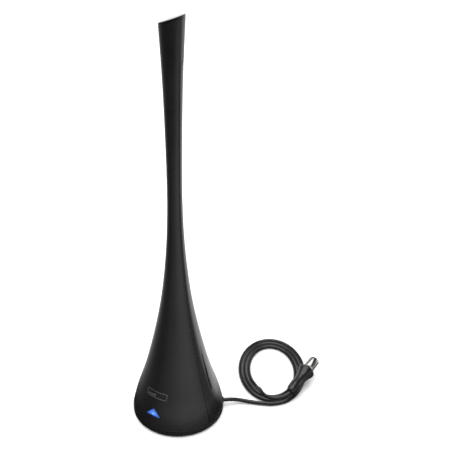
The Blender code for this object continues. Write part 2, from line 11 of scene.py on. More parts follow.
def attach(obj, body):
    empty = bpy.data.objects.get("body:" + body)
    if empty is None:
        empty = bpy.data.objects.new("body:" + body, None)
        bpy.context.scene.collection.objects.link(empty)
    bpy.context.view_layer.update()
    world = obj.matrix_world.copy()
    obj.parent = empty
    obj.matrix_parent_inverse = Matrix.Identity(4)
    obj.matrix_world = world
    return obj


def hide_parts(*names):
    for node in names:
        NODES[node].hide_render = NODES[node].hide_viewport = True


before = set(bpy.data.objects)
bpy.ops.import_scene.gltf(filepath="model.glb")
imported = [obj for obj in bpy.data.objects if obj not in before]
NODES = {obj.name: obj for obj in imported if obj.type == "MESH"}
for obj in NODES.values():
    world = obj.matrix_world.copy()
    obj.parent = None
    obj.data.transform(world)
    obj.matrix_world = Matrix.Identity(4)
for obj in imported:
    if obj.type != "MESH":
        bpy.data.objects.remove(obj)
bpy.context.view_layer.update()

MM = 0.001

# ---------------------------------------------------------------- camera


def make_camera():
    data = bpy.data.cameras.new("camera")
    data.sensor_width = 36.0
    data.lens = 85.21
    data.shift_x = 0.0346
    camera = bpy.data.objects.new("camera", data)
    camera.location = (0.40667, -0.5508, 0.6269)
    look = Vector((-0.47167, 0.69404, -0.54391)).to_track_quat("-Z", "Y")
    camera.rotation_euler = (look.to_matrix() @ Matrix.Rotation(radians(0.165), 3, "Z")).to_euler()
    bpy.context.scene.collection.objects.link(camera)
    bpy.context.scene.camera = camera


make_camera()

# ---------------------------------------------------------------- general shapes


def smooth_line(points, spacing):
    """Points about a spacing apart along a Catmull-Rom curve through the given ones."""
    points = [Vector(p) for p in points]
    ends = [2 * points[0] - points[1], *points, 2 * points[-1] - points[-2]]
    line = []
    for p0, p1, p2, p3 in zip(ends, ends[1:], ends[2:], ends[3:]):
        count = max(1, ceil((p2 - p1).length / spacing))
        for k in range(count):
            t = k / count
            line.append(
                0.5 * (2 * p1 + (p2 - p0) * t + (2 * p0 - 5 * p1 + 4 * p2 - p3) * t**2
                       + (3 * p1 - p0 - 3 * p2 + p3) * t**3)
            )
    return [*line, points[-1]]


def fillet(points, closed=False, steps=4):
    """An outline of (x, y) points, rounded at those that give a radius as a third number."""
    outline = []
    for i, point in enumerate(points):
        corner = Vector(point[:2])
        if len(point) < 3 or (not closed and i in (0, len(points) - 1)):
            outline.append(corner)
            continue
        before = (Vector(points[i - 1][:2]) - corner).normalized()
        after = (Vector(points[(i + 1) % len(points)][:2]) - corner).normalized()
        half = before.angle(after) / 2
        reach = point[2] / tan(half)
        centre = corner + (before + after).normalized() * (point[2] / sin(half))
        start, end = corner + before * reach - centre, corner + after * reach - centre
        for k in range(steps + 1):
            t = k / steps
            outline.append(centre + (start * (1 - t) + end * t).normalized() * point[2])
    return outline


def smooth_mesh(bm, name, angle=35):
    bmesh.ops.recalc_face_normals(bm, faces=bm.faces)
    mesh = bpy.data.meshes.new(name)
    bm.to_mesh(mesh)
    bm.free()
    mesh.shade_smooth()
    mesh.set_sharp_from_angle(angle=radians(angle))
    return mesh


def bridge(bm, rings, closed):
    """Quads between neighbouring rings of vertices; a ring of one vertex is a point."""
    pairs = list(zip(rings, rings[1:]))
    if closed:
        pairs.append((rings[-1], rings[0]))
    for a, b in pairs:
        count = max(len(a), len(b))
        for k in range(count):
            corners = [a[k % len(a)], a[(k + 1) % len(a)], b[(k + 1) % len(b)], b[k % len(b)]]
            corners = list(dict.fromkeys(corners))
            if len(corners) > 2:
                bm.faces.new(corners)


def lathe(name, profile, matrix=Matrix.Identity(4), steps=96, closed=False):
    """A profile of (radius, height) turned about the matrix's Z."""
    bm = bmesh.new()
    rings = []
    for radius, height in profile:
        if radius < 1e-9:
            rings.append([bm.verts.new(matrix @ Vector((0, 0, height)))])
            continue
        ring = []
        for k in range(steps):
            a = 2 * pi * k / steps
            ring.append(bm.verts.new(matrix @ Vector((radius * cos(a), radius * sin(a), height))))
        rings.append(ring)
    bridge(bm, rings, closed)
    return smooth_mesh(bm, name)


def prism(name, outline, low, high, matrix):
    """An outline in the matrix's XY plane, carried from low to high along its Z."""
    bm = bmesh.new()
    rings = [[bm.verts.new(matrix @ Vector((x, y, z))) for x, y in outline] for z in (low, high)]
    bridge(bm, rings, closed=False)
    for ring in rings:
        bm.faces.new(ring)
    return smooth_mesh(bm, name)


def link(name, mesh):
    obj = bpy.data.objects.new(name, mesh)
    bpy.context.scene.collection.objects.link(obj)
    return obj


def settle(obj):
    """Applies the modifiers."""
    graph = bpy.context.evaluated_depsgraph_get()
    mesh = bpy.data.meshes.new_from_object(obj.evaluated_get(graph))
    obj.modifiers.clear()
    obj.data = mesh


def carve(obj, *cutters):
    """Cuts the cutter meshes out of obj."""
    for mesh in cutters:
        helper = link("cutter", mesh)
        modifier = obj.modifiers.new("cut", "BOOLEAN")
        modifier.operation = "DIFFERENCE"
        modifier.solver = "EXACT"
        modifier.object = helper
        settle(obj)
        bpy.data.objects.remove(helper)


def soften(obj, width, segments=3, angle=50):
    """Rounds the sharp edges, with flat faces kept flat-looking."""
    bevel = obj.modifiers.new("round", "BEVEL")
    bevel.width = width
    bevel.segments = segments
    bevel.limit_method = "ANGLE"
    bevel.angle_limit = radians(angle)
    bevel.use_clamp_overlap = False
    bevel.harden_normals = False
    obj.modifiers.new("normals", "WEIGHTED_NORMAL").keep_sharp = True
    settle(obj)


# ---------------------------------------------------------------- materials


class Nodes:
    """A node tree, with short ways to add to it."""

    def __init__(self, owner):
        owner.use_nodes = True
        self.tree = owner.node_tree

    def add(self, kind, **settings):
        node = self.tree.nodes.new(kind)
        for key, value in settings.items():
            setattr(node, key, value)
        return node

    def feed(self, node, **inputs):
        for socket, value in inputs.items():
            target = node.inputs[socket.replace("_", " ")]
            if isinstance(value, bpy.types.NodeSocket):
                self.tree.links.new(value, target)
            else:
                target.default_value = value
        return node

    def split(self, vector):
        node = self.add("ShaderNodeSeparateXYZ")
        self.feed(node, Vector=vector)
        return node.outputs

    def math(self, operation, *values):
        node = self.add("ShaderNodeMath", operation=operation)
        for target, value in zip(node.inputs, values):
            if isinstance(value, bpy.types.NodeSocket):
                self.tree.links.new(value, target)
            else:
                target.default_value = value
        return node.outputs["Value"]

    def ramp(self, source, *stops):
        node = self.add("ShaderNodeValToRGB")
        elements = node.color_ramp.elements
        while len(elements) < len(stops):
            elements.new(1.0)
        for element, (position, colour) in zip(elements, stops):
            element.position = position
            element.color = (*colour, 1.0)
        self.feed(node, Fac=source)
        return node.outputs["Color"]

    def span(self, source, low, high, start=0.3, end=0.7, shape="LINEAR"):
        node = self.add("ShaderNodeMapRange", interpolation_type=shape)
        self.feed(node, Value=source, From_Min=start, From_Max=end, To_Min=low, To_Max=high)
        return node.outputs["Result"]


class Finish(Nodes):
    """A material with a Principled shader, and what most finishes share."""

    def __init__(self, name, roughness, metallic=0.0, **sockets):
        self.material = bpy.data.materials.new(name)
        super().__init__(self.material)
        self.shader = self.tree.nodes["Principled BSDF"]
        self.shader.inputs["Roughness"].default_value = roughness
        self.shader.inputs["Metallic"].default_value = metallic
        for socket, value in sockets.items():
            self.shader.inputs[socket.replace("_", " ")].default_value = value
        self.place = self.add("ShaderNodeTexCoord").outputs["Object"]
        self.normal = None

    def noise(self, scale, detail=3.0, stretch=None):
        """Noise from 0 to 1 at so many features per metre."""
        place = self.place
        if stretch:
            mapping = self.add("ShaderNodeMapping")
            self.feed(mapping, Vector=place, Scale=stretch)
            place = mapping.outputs["Vector"]
        node = self.add("ShaderNodeTexNoise")
        self.feed(node, Vector=place, Scale=scale, Detail=detail, Roughness=0.55)
        return node.outputs["Fac"]

    def colour(self, source, *stops):
        self.feed(self.shader, Base_Color=self.ramp(source, *stops))
        return self

    def rough(self, source, low, high):
        self.feed(self.shader, Roughness=self.span(source, low, high))
        return self

    def bump(self, source, distance, strength=1.0):
        node = self.add("ShaderNodeBump")
        self.feed(node, Height=source, Distance=distance, Strength=strength)
        if self.normal:
            self.feed(node, Normal=self.normal)
        self.normal = node.outputs["Normal"]
        self.feed(self.shader, Normal=self.normal)
        return self


def tones(colour, spread):
    """A darker and a lighter version of a colour, as ramp stops."""
    return (0.3, [c * (1 - spread) for c in colour]), (0.7, [c * (1 + spread) for c in colour])


def plastic(name, colour, low, high, grain, depth, spread=0.15, **sockets):
    """Moulded plastic: faint tone changes, uneven polish and the mould's grain."""
    made = Finish(name, low, **sockets)
    made.colour(made.noise(40, 4), *tones(colour, spread))
    made.rough(made.noise(130, 5), low, high)
    made.bump(made.noise(grain, 2), depth)
    return made


def metal(name, colour, low, high, stretch, depth, spread=0.12):
    """Metal with a directional finish along the least stretched axis."""
    made = Finish(name, low, 1.0)
    made.colour(made.noise(220, 4), *tones(colour, spread))
    streaks = made.noise(900, 3, stretch)
    made.rough(streaks, low, high)
    made.bump(streaks, depth)
    return made


def make_materials():
    made = {}

    satin = plastic("satin_black", (0.0062, 0.0062, 0.0066), 0.27, 0.33, 2600, 0.006 * MM, IOR=1.5)
    satin.bump(satin.noise(60, 2), 0.02 * MM, 0.5)
    made["satin_black"] = satin

    gloss = plastic("gloss_black", (0.0055, 0.0055, 0.006), 0.07, 0.11, 700, 0.0006 * MM, IOR=1.5)
    gloss.bump(gloss.noise(45, 2), 0.01 * MM, 0.5)
    made["gloss_black"] = gloss

    made["cable_black"] = plastic(
        "cable_black", (0.008, 0.008, 0.0085), 0.15, 0.2, 1500, 0.012 * MM, IOR=1.5
    )
    made["plug_black"] = plastic(
        "plug_black", (0.007, 0.007, 0.0075), 0.2, 0.27, 1800, 0.006 * MM, IOR=1.5
    )
    made["rubber"] = plastic("rubber", (0.016, 0.016, 0.016), 0.62, 0.8, 2200, 0.03 * MM)
    made["component"] = plastic("component", (0.02, 0.02, 0.022), 0.42, 0.55, 3200, 0.02 * MM)
    made["nylon"] = plastic("nylon", (0.72, 0.71, 0.66), 0.38, 0.5, 1600, 0.01 * MM, 0.05)
    made["foam"] = plastic("foam", (0.09, 0.09, 0.1), 0.85, 0.98, 1400, 0.3 * MM, 0.35)
    made["print_grey"] = plastic("print_grey", (0.13, 0.13, 0.135), 0.45, 0.6, 3000, 0.004 * MM, 0.1)

    clear = plastic("clear_plastic", (0.82, 0.86, 0.9), 0.12, 0.2, 900, 0.004 * MM, 0.04)
    clear.shader.inputs["Transmission Weight"].default_value = 0.8
    made["clear_plastic"] = clear

    made["nickel"] = metal("nickel", (0.42, 0.41, 0.4), 0.12, 0.22, (1, 1, 0.08), 0.002 * MM, 0.08)
    made["zinc_steel"] = metal("zinc_steel", (0.5, 0.5, 0.52), 0.28, 0.42, (1, 1, 1), 0.01 * MM)
    made["tinplate"] = metal("tinplate", (0.6, 0.6, 0.58), 0.26, 0.4, (0.1, 1, 1), 0.006 * MM)
    made["copper"] = metal("copper", (0.68, 0.33, 0.18), 0.24, 0.38, (1, 1, 0.1), 0.006 * MM)
    made["cast_weight"] = metal("cast_weight", (0.17, 0.17, 0.18), 0.5, 0.72, (1, 1, 1), 0.12 * MM, 0.3)

    board = Finish("board_green", 0.4)
    tracks = board.noise(260, 1, (1, 0.25, 0.25))
    board.colour(tracks, (0.47, (0.012, 0.11, 0.04)), (0.5, (0.02, 0.19, 0.07)), (0.53, (0.012, 0.11, 0.04)))
    board.rough(board.noise(300, 4), 0.3, 0.5)
    board.bump(tracks, 0.03 * MM)
    made["board_green"] = board

    made["lamp_blue"] = lamp_finish()
    made["floor"] = floor_finish()
    return {name: finish.material for name, finish in made.items()}


def lamp_finish():
    """A frosted window over a lamp: pale at its middle and deep blue towards the edges."""
    lamp = plastic("lamp_blue", (0.03, 0.08, 0.3), 0.16, 0.26, 1400, 0.008 * MM, 0.2)
    centre = lamp.add("ShaderNodeMapping")
    lamp.feed(centre, Vector=lamp.place, Location=(0, 0, -1.5 * WINDOW_CENTRE), Scale=(1, 0, 1.5))
    length = lamp.add("ShaderNodeVectorMath", operation="LENGTH")
    lamp.feed(length, Vector=centre.outputs["Vector"])
    away = lamp.span(length.outputs["Value"], 0.0, 1.0, 0.0, 7.5 * MM)
    glow = lamp.ramp(
        away, (0.0, (0.45, 0.7, 1.0)), (0.12, (0.12, 0.32, 0.85)), (0.32, (0.03, 0.13, 0.55)),
        (0.6, (0.008, 0.035, 0.22)), (1.0, (0.003, 0.01, 0.08)),
    )
    lamp.feed(lamp.shader, Emission_Color=glow, Emission_Strength=1.0)
    return lamp


def floor_finish():
    floor = Finish("floor", 0.6)
    floor.colour(floor.noise(6, 5), (0.3, (0.86, 0.86, 0.86)), (0.7, (0.88, 0.88, 0.88)))
    floor.bump(floor.noise(500, 3), 0.02 * MM)
    return floor


# ---------------------------------------------------------------- column's form

# Height and outer radius at the stations of the flare, in millimetres
COLUMN = [
    (7.0, 37.9), (22.0, 34.35), (40.0, 28.75), (60.0, 23.4), (85.0, 17.87), (112.0, 12.97),
    (142.0, 9.28), (172.0, 6.97), (205.0, 5.9), (260.0, 6.33), (305.0, 7.5), (356.0, 9.92),
]
GAP = 0.3 * MM  # between the lid and the wall
WALL = 1.4 * MM
SHELL_FOOT = 6.9 * MM
LID_THICKNESS = 2.0 * MM
TOP_HEIGHT = 351.2 * MM  # of the lid's slanted top, on the axis
SHELL_TOP = TOP_HEIGHT - LID_THICKNESS - GAP
TOP_SLANT = radians(25)
TOP_HIGH_SIDE = radians(83)  # the lid's highest point, as an angle from the front
REAR_HALF_ANGLE = radians(101.5)
ARCH_START = 315.0 * MM
ARCH_END = 325.0 * MM
SEAM_GAP = 0.4 * MM
WINDOW_WIDTH = 14.4 * MM
WINDOW_HEIGHT = 6.85 * MM
WINDOW_FOOT = 16.1 * MM
WINDOW_CENTRE = 18.4 * MM  # height of the lamp behind it


def spline_bends(stations):
    """Second derivatives of the natural cubic spline through the stations."""
    z, r = np.array(stations).T
    step = np.diff(z)
    count = len(z)
    matrix = np.eye(count)
    wanted = np.zeros(count)
    for i in range(1, count - 1):
        matrix[i, i - 1 : i + 2] = step[i - 1], 2 * (step[i - 1] + step[i]), step[i]
        wanted[i] = 6 * ((r[i + 1] - r[i]) / step[i] - (r[i] - r[i - 1]) / step[i - 1])
    return np.linalg.solve(matrix, wanted)


BENDS = spline_bends(COLUMN)


def outer_radius(height):
    h = height / MM
    i = next((k for k in range(len(COLUMN) - 2) if h < COLUMN[k + 1][0]), len(COLUMN) - 2)
    (z0, r0), (z1, r1) = COLUMN[i], COLUMN[i + 1]
    step = z1 - z0
    a, b = (z1 - h) / step, (h - z0) / step
    bent = ((a**3 - a) * BENDS[i] + (b**3 - b) * BENDS[i + 1]) * step**2 / 6
    return (a * r0 + b * r1 + bent) * MM


def around(radius, angle):
    """The plan position at an angle from the front, turning towards +X."""
    return radius * sin(angle), -radius * cos(angle)


def seam_half_angle(height, inset):
    """Half the rear opening's angle, made smaller by an inset along the surface."""
    end = ARCH_END - inset
    rise = min(max((height - ARCH_START) / (end - ARCH_START), 0.0), 1.0)
    angle = REAR_HALF_ANGLE * sqrt(1 - rise**2)
    return max(angle - inset / outer_radius(height), 0.0)


def slanted(x, y, z, share=1.0):
    """A point of the level column, moved along its flare to a share of the top's slant."""
    high_x, high_y = around(tan(TOP_SLANT), TOP_HIGH_SIDE)
    flare = outer_radius(z + share * (x * high_x + y * high_y)) / outer_radius(z)
    x, y = x * flare, y * flare
    return x, y, z + share * (x * high_x + y * high_y)


def on_front(across, height, lift=0.0):
    """A point on the column's front, by the distance along its surface from the middle."""
    radius = outer_radius(height)
    return Vector((*around(radius + lift, across / radius), height))


# ---------------------------------------------------------------- cable

CABLE_TURN = Matrix.Rotation(radians(34.2), 4, "Z")
CABLE_RADIUS = 1.65 * MM
LEAD = [
    (36.2, 2.1, 5.2), (39.8, 2.4, 5.2), (44.5, 3.2, 4.8), (50, 4.2, 3.6),
    (55.5, 4.3, 2.5), (61.5, 3.5, 1.85), (67.5, 2.4, 1.7), (74, 1.6, 1.7),
]
COIL_CENTRE = (80.95, 45.0)
COIL_START = (29.8, 43.73)  # half its width and depth at the start of the first turn
COIL_STEP = (3.6, 4.4)  # how much smaller each turn is
COIL_TURNS = 2.875
COIL_HEIGHT = 1.7  # of the cable's middle
COIL_LIFT = 0.35  # how far it has risen where the last turn ends
LIFT_TURNS = 0.12  # how much of the last turn it rises over
TURN_POINTS = 16
TAIL = [
    (70.12, 16.98, 3.86), (71.97, 11.7, 4.49), (74.89, 7.52, 4.89), (78.82, 4.72, 5.4),
    (83.37, 3.46, 6.04), (87.98, 3.79, 6.74), (92.13, 5.6, 7.43), (95.45, 8.6, 8),
]
PLUG_START = (95.45, 8.6, 8.0)
PLUG_YAW = radians(57.6)
PLUG_RISE = radians(5.6)
PLUG_AXES = CABLE_TURN @ Matrix.Translation(Vector(PLUG_START) * MM) @ (
    Matrix.Rotation(PLUG_YAW, 4, "Z") @ Matrix.Rotation(pi / 2 - PLUG_RISE, 4, "Y")
)
GLAND_ANGLE = radians(3.3)
GLAND_AXES = CABLE_TURN @ Matrix.Translation((0, 0, 5.2 * MM)) @ (
    Matrix.Rotation(GLAND_ANGLE, 4, "Z") @ Matrix.Rotation(pi / 2, 4, "Y")
)
GLAND_FACE = 38.6 * MM


def in_world(point):
    return CABLE_TURN @ (Vector(point) * MM)


def coil_points():
    count = round(COIL_TURNS * TURN_POINTS)
    points = []
    for k in range(count + 1):
        turn = k / TURN_POINTS
        angle = 2 * pi * turn - pi / 2
        width, depth = (start - step * turn for start, step in zip(COIL_START, COIL_STEP))
        risen = max(0.0, turn - COIL_TURNS + LIFT_TURNS) / LIFT_TURNS
        x, y = COIL_CENTRE[0] + width * cos(angle), COIL_CENTRE[1] + depth * sin(angle)
        points.append((x, y, COIL_HEIGHT + COIL_LIFT * risen))
    return points


def make_cord():
    route = [in_world(p) for p in [*LEAD, *coil_points(), *TAIL]]
    route.append(PLUG_AXES @ Vector((0, 0, 4.5 * MM)))
    route.append(PLUG_AXES @ Vector((0, 0, 9.0 * MM)))
    line = smooth_line(route, 1.6 * MM)
    curve = bpy.data.curves.new("cable", "CURVE")
    curve.dimensions = "3D"
    spline = curve.splines.new("POLY")
    spline.points.add(len(line) - 1)
    for place, point in zip(line, spline.points):
        point.co = (*place, 1)
    spline.use_smooth = True
    curve.bevel_depth = CABLE_RADIUS
    curve.bevel_resolution = 6
    curve.use_fill_caps = True
    return link("cable", curve)


# ---------------------------------------------------------------- the pieces


def piece(name, mesh, finish, replaces=()):
    """A visible piece with its material, riding on the aerial."""
    obj = mesh if isinstance(mesh, bpy.types.Object) else link(name, mesh)
    obj.data.materials.clear()
    obj.data.materials.append(MATERIALS[finish])
    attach(obj, "root")
    if replaces:
        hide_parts(*replaces)
    return obj


def shell(name, rows, columns, middle, half_angle, slant_share=None):
    """A wall of the column: an open grid bent round it, thickened inwards."""
    bm = bmesh.new()
    grid = []
    for height in rows:
        line = []
        for k in range(columns + 1):
            angle = middle + (2 * k / columns - 1) * half_angle(height)
            line.append(bm.verts.new((*around(outer_radius(height), angle), height)))
        grid.append(line)
    for low, high in zip(grid, grid[1:]):
        for k in range(columns):
            bm.faces.new((low[k], low[k + 1], high[k + 1], high[k]))
    bmesh.ops.remove_doubles(bm, verts=bm.verts, dist=1e-6)
    outside = set(bm.verts)
    bmesh.ops.extrude_face_region(bm, geom=bm.faces[:], use_keep_orig=True)
    for vert in set(bm.verts) - outside:
        flat = Vector((vert.co.x, vert.co.y))
        vert.co.xy = flat * (1 - WALL / flat.length)
    if slant_share:
        for vert in bm.verts:
            vert.co = slanted(*vert.co, slant_share(vert.co.z))
    return smooth_mesh(bm, name)


def window_outline(grow=0.0, radius=0.5 * MM):
    """The lit triangle as (across, height), grown on all sides, with rounded corners."""
    slant = sqrt((WINDOW_WIDTH / 2) ** 2 + WINDOW_HEIGHT**2)
    inradius = WINDOW_WIDTH * WINDOW_HEIGHT / (WINDOW_WIDTH + 2 * slant)
    scale = (inradius + grow) / inradius
    half = WINDOW_WIDTH / 2 * scale
    foot = WINDOW_FOOT + inradius - inradius * scale
    top = WINDOW_FOOT + inradius + (WINDOW_HEIGHT - inradius) * scale
    return fillet([(-half, foot, radius), (half, foot, radius), (0, top, radius)], closed=True)


def make_shells():
    body = [SHELL_FOOT + (ARCH_START - SHELL_FOOT) * (k / 90) ** 1.2 for k in range(91)]
    rear_end, front_end = ARCH_END - SEAM_GAP / 2, ARCH_END + SEAM_GAP / 2

    def arch(end, count):
        return [ARCH_START + (end - ARCH_START) * sin(pi / 2 * k / count) for k in range(1, count + 1)]

    neck = [front_end + (SHELL_TOP - front_end) * k / 10 for k in range(1, 11)]

    def front_half(height):
        return pi - seam_half_angle(height, -SEAM_GAP / 2) if height < front_end - 1e-7 else pi

    def slant_share(height):
        return max(0.0, (height - front_end) / (SHELL_TOP - front_end))

    front = link(
        "front_panel",
        shell("front_panel", body + arch(front_end, 40) + neck, 84, 0.0, front_half, slant_share),
    )
    soften(front, 0.15 * MM)
    upright = Matrix.Rotation(pi / 2, 4, "X")
    hole = prism("hole", window_outline(0.12 * MM, 0.6 * MM), 25 * MM, 45 * MM, upright)
    carve(front, hole)
    piece("front_panel", front, "satin_black", replaces=["front_shell"])

    rear = link(
        "rear_panel",
        shell("rear_panel", body + arch(rear_end, 20), 84, pi, lambda h: seam_half_angle(h, SEAM_GAP / 2)),
    )
    soften(rear, 0.15 * MM)
    carve(rear, gland_bore())
    piece("rear_panel", rear, "gloss_black", replaces=["rear_shell"])


def gland_bore():
    """The hole for the cable, from inside the base to beyond its rim."""
    radius, inner, outer = 2.9 * MM, 31 * MM, 44 * MM
    return lathe("bore", [(0, inner), (radius, inner), (radius, outer), (0, outer)], GLAND_AXES, 48)


def make_window():
    """A domed triangular lens that follows the column, just inside its surface."""
    outline = window_outline()
    middle = Vector((0, WINDOW_FOOT + WINDOW_HEIGHT * 0.38))
    bm = bmesh.new()
    rings = [[bm.verts.new(on_front(middle.x, middle.y, -0.02 * MM))]]
    levels = [(0.25, 0.02), (0.5, 0.03), (0.75, 0.06), (0.9, 0.1), (0.96, 0.16), (1.0, 0.32), (1.0, 1.2)]
    for share, depth in levels:
        ring = [middle.lerp(point, share) for point in outline]
        rings.append([bm.verts.new(on_front(p.x, p.y, -depth * MM)) for p in ring])
    rings.append([bm.verts.new(on_front(middle.x, middle.y, -1.2 * MM))])
    bridge(bm, rings, closed=False)
    piece("lamp_lens", smooth_mesh(bm, "lamp_lens", 60), "lamp_blue", replaces=["lamp_window"])


def make_cap():
    """The gloss lid over the slanted end of the wall, with a skirt inside it."""
    radius = outer_radius(TOP_HEIGHT) - 0.05 * MM
    skirt = outer_radius(TOP_HEIGHT - 11 * MM) - WALL - GAP
    under, foot = -LID_THICKNESS, -5 * MM
    profile = fillet([
        (0, 0), (radius * 0.5, 0), (radius, 0, 0.35 * MM), (radius, under, 0.15 * MM), (skirt, under),
        (skirt, foot, 0.2 * MM), (skirt - 1 * MM, foot, 0.2 * MM), (skirt - 1 * MM, under), (0, under),
    ])
    mesh = lathe("cap_plate", profile)
    for vert in mesh.vertices:
        x, y, z = vert.co
        vert.co = slanted(x, y, TOP_HEIGHT + z)
    piece("cap_plate", mesh, "gloss_black", replaces=["top_cap"])


SCREW_ANGLES = [radians(a) for a in (-45, 45, -158, 158)]


def make_tray():
    base, foot, under = 38.1 * MM, 1.2 * MM, 0.6 * MM
    profile = fillet([
        (0, 2.8 * MM), (35.4 * MM, 2.8 * MM, 0.5 * MM), (35.4 * MM, 6.5 * MM, 0.2 * MM),
        (base, 6.5 * MM, 0.55 * MM), (base, under, foot), (0, under),
    ], steps=8)
    tray = link("base_ring", lathe("base_ring", profile, steps=160))
    cutters = [gland_bore()]
    for k in range(4):
        place = Matrix.Translation((*around(27 * MM, k * pi / 2), 0))
        recess = [(0, -1 * MM), (5.3 * MM, -1 * MM), (5.3 * MM, 1.2 * MM), (0, 1.2 * MM)]
        cutters.append(lathe("recess", recess, place, 40))
    for angle in SCREW_ANGLES:
        place = Matrix.Translation((*around(27.5 * MM, angle), 0))
        hole = [
            (0, -1 * MM), (2.7 * MM, -1 * MM), (2.7 * MM, 1.9 * MM), (1.4 * MM, 1.9 * MM),
            (1.4 * MM, 4 * MM), (0, 4 * MM),
        ]
        cutters.append(lathe("screw_hole", hole, place, 32))
    carve(tray, *cutters)
    tray.data.shade_smooth()
    tray.data.set_sharp_from_angle(angle=radians(35))
    piece("base_ring", tray, "gloss_black", replaces=["base_tray"])


def make_feet():
    for k in range(4):
        place = Matrix.Translation((*around(27 * MM, k * pi / 2), 0))
        profile = fillet([
            (0, 0), (3.6 * MM, 0), (3.8 * MM, 0.12 * MM), (4.1 * MM, 0.12 * MM), (4.3 * MM, 0),
            (5 * MM, 0, 0.25 * MM), (5 * MM, 0.9 * MM), (0, 0.9 * MM),
        ])
        name = f"foot_{k + 1}"
        piece(name, lathe(name, profile, place, 48), "rubber", replaces=[f"foot_pad_{k + 1}"])


def make_mark():
    """A printed badge: a rounded outline with a row of rising signal bars."""
    height, thick = 35.04 * MM, 0.04 * MM

    def printed(bm, outer, inner=None):
        rings = []
        for outline, lift in ((outer, 0), (outer, thick), (inner, thick), (inner, 0)):
            if outline:
                rings.append([bm.verts.new(on_front(x, height + y, lift)) for x, y in outline])
        bridge(bm, rings, closed=bool(inner))
        if not inner:
            bm.faces.new(rings[0])
            bm.faces.new(rings[1])

    def box(half_width, half_height, radius):
        """A rounded rectangle with points along its long sides, so that it can follow the curve."""
        corners = [(-half_width, -half_height), (half_width, -half_height), (half_width, half_height),
                   (-half_width, half_height)]
        outline = fillet([(*c, radius) for c in corners], closed=True)
        dense = []
        for a, b in zip(outline, [*outline[1:], outline[0]]):
            count = max(1, ceil((b - a).length / (0.9 * MM)))
            dense += [a.lerp(b, k / count) for k in range(count)]
        return dense

    bm = bmesh.new()
    wide, tall, line = 9.77 * MM, 2.65 * MM, 0.22 * MM
    outer = box(wide, tall, 0.8 * MM)
    centre_x, centre_y = wide - line, tall - line
    inner = [Vector((p.x * centre_x / wide, p.y * centre_y / tall)) for p in outer]
    printed(bm, outer, inner)
    for k in range(6):
        left, foot = (-7.4 + 1.3 * k) * MM, -1.25 * MM
        right, top = left + 0.45 * MM, foot + (0.7 + 0.16 * k) * MM
        printed(bm, [(left, foot), (right, foot), (right, top), (left, top)])
    piece("signal_badge", smooth_mesh(bm, "signal_badge"), "print_grey")


def make_gland():
    bore, radius = 1.75 * MM, 2.6 * MM
    profile = fillet([
        (bore, GLAND_FACE, 0.2 * MM), (radius, GLAND_FACE, 0.3 * MM), (radius, 34 * MM), (bore, 34 * MM),
    ], closed=True)
    mesh = lathe("cable_grommet", profile, GLAND_AXES, 56, closed=True)
    piece("cable_grommet", mesh, "rubber", replaces=["cable_gland"])


def make_plug():
    bore, face, sleeve = 1.75 * MM, 30 * MM, 4.75 * MM
    body = fillet([
        (sleeve + 0.1 * MM, face), (6.9 * MM, face, 0.4 * MM), (7.4 * MM, face - 0.7 * MM, 0.3 * MM),
        (7.4 * MM, face - 1.9 * MM, 0.5 * MM), (6.25 * MM, 25 * MM, 2.0 * MM),
        (5.1 * MM, 20.5 * MM, 5.0 * MM),
        (4.8 * MM, 15.5 * MM, 6.0 * MM), (5.0 * MM, 9 * MM, 6.0 * MM), (4.7 * MM, 4 * MM, 3.0 * MM),
        (3.6 * MM, 0.9 * MM, 1.0 * MM), (2.9 * MM, 0, 0.3 * MM), (bore, 0, 0.15 * MM), (bore, 9 * MM),
        (3.7 * MM, 9 * MM), (3.7 * MM, 21 * MM), (sleeve + 0.1 * MM, 22 * MM),
    ], closed=True, steps=5)
    piece("plug_moulding", lathe("plug_moulding", body, PLUG_AXES, 72, closed=True), "plug_black",
          replaces=["plug_body"])
    inner, tip = sleeve - 0.45 * MM, 44 * MM
    outside = fillet([
        (inner, tip, 0.2 * MM), (sleeve, tip, 0.22 * MM), (sleeve, 33.2 * MM),
        (sleeve - 0.12 * MM, 33.0 * MM),
        (sleeve - 0.12 * MM, 32.5 * MM), (sleeve, 32.3 * MM), (sleeve, 22.4 * MM), (inner, 22.4 * MM),
    ], closed=True)
    piece("plug_shell", lathe("plug_shell", outside, PLUG_AXES, 72, closed=True), "nickel",
          replaces=["plug_sleeve"])
    disc = fillet([
        (1.4 * MM, 33 * MM), (2.2 * MM, 33 * MM), (2.4 * MM, 32.4 * MM), (3.2 * MM, 32.4 * MM),
        (3.4 * MM, 33 * MM), (inner - 0.05 * MM, 33 * MM, 0.2 * MM), (inner - 0.05 * MM, 24 * MM),
        (1.4 * MM, 24 * MM),
    ], closed=True)
    piece("plug_disc", lathe("plug_disc", disc, PLUG_AXES, 56, closed=True), "nylon",
          replaces=["plug_insulator"])
    pin = fillet([
        (0, 42.5 * MM), (0.55 * MM, 42.45 * MM, 0.3 * MM), (1.0 * MM, 41.9 * MM, 0.4 * MM),
        (1.2 * MM, 41.0 * MM, 0.8 * MM), (1.2 * MM, 20.5 * MM), (0, 20.5 * MM),
    ])
    piece("plug_contact", lathe("plug_contact", pin, PLUG_AXES, 40), "nickel", replaces=["plug_pin"])


# ---------------------------------------------------------------- setting


def make_floor():
    bm = bmesh.new()
    bmesh.ops.create_grid(bm, x_segments=24, y_segments=24, size=6.0)
    floor = link("floor", smooth_mesh(bm, "floor"))
    floor.data.materials.append(MATERIALS["floor"])
    floor.location.z = -0.0002
    floor.visible_glossy = False


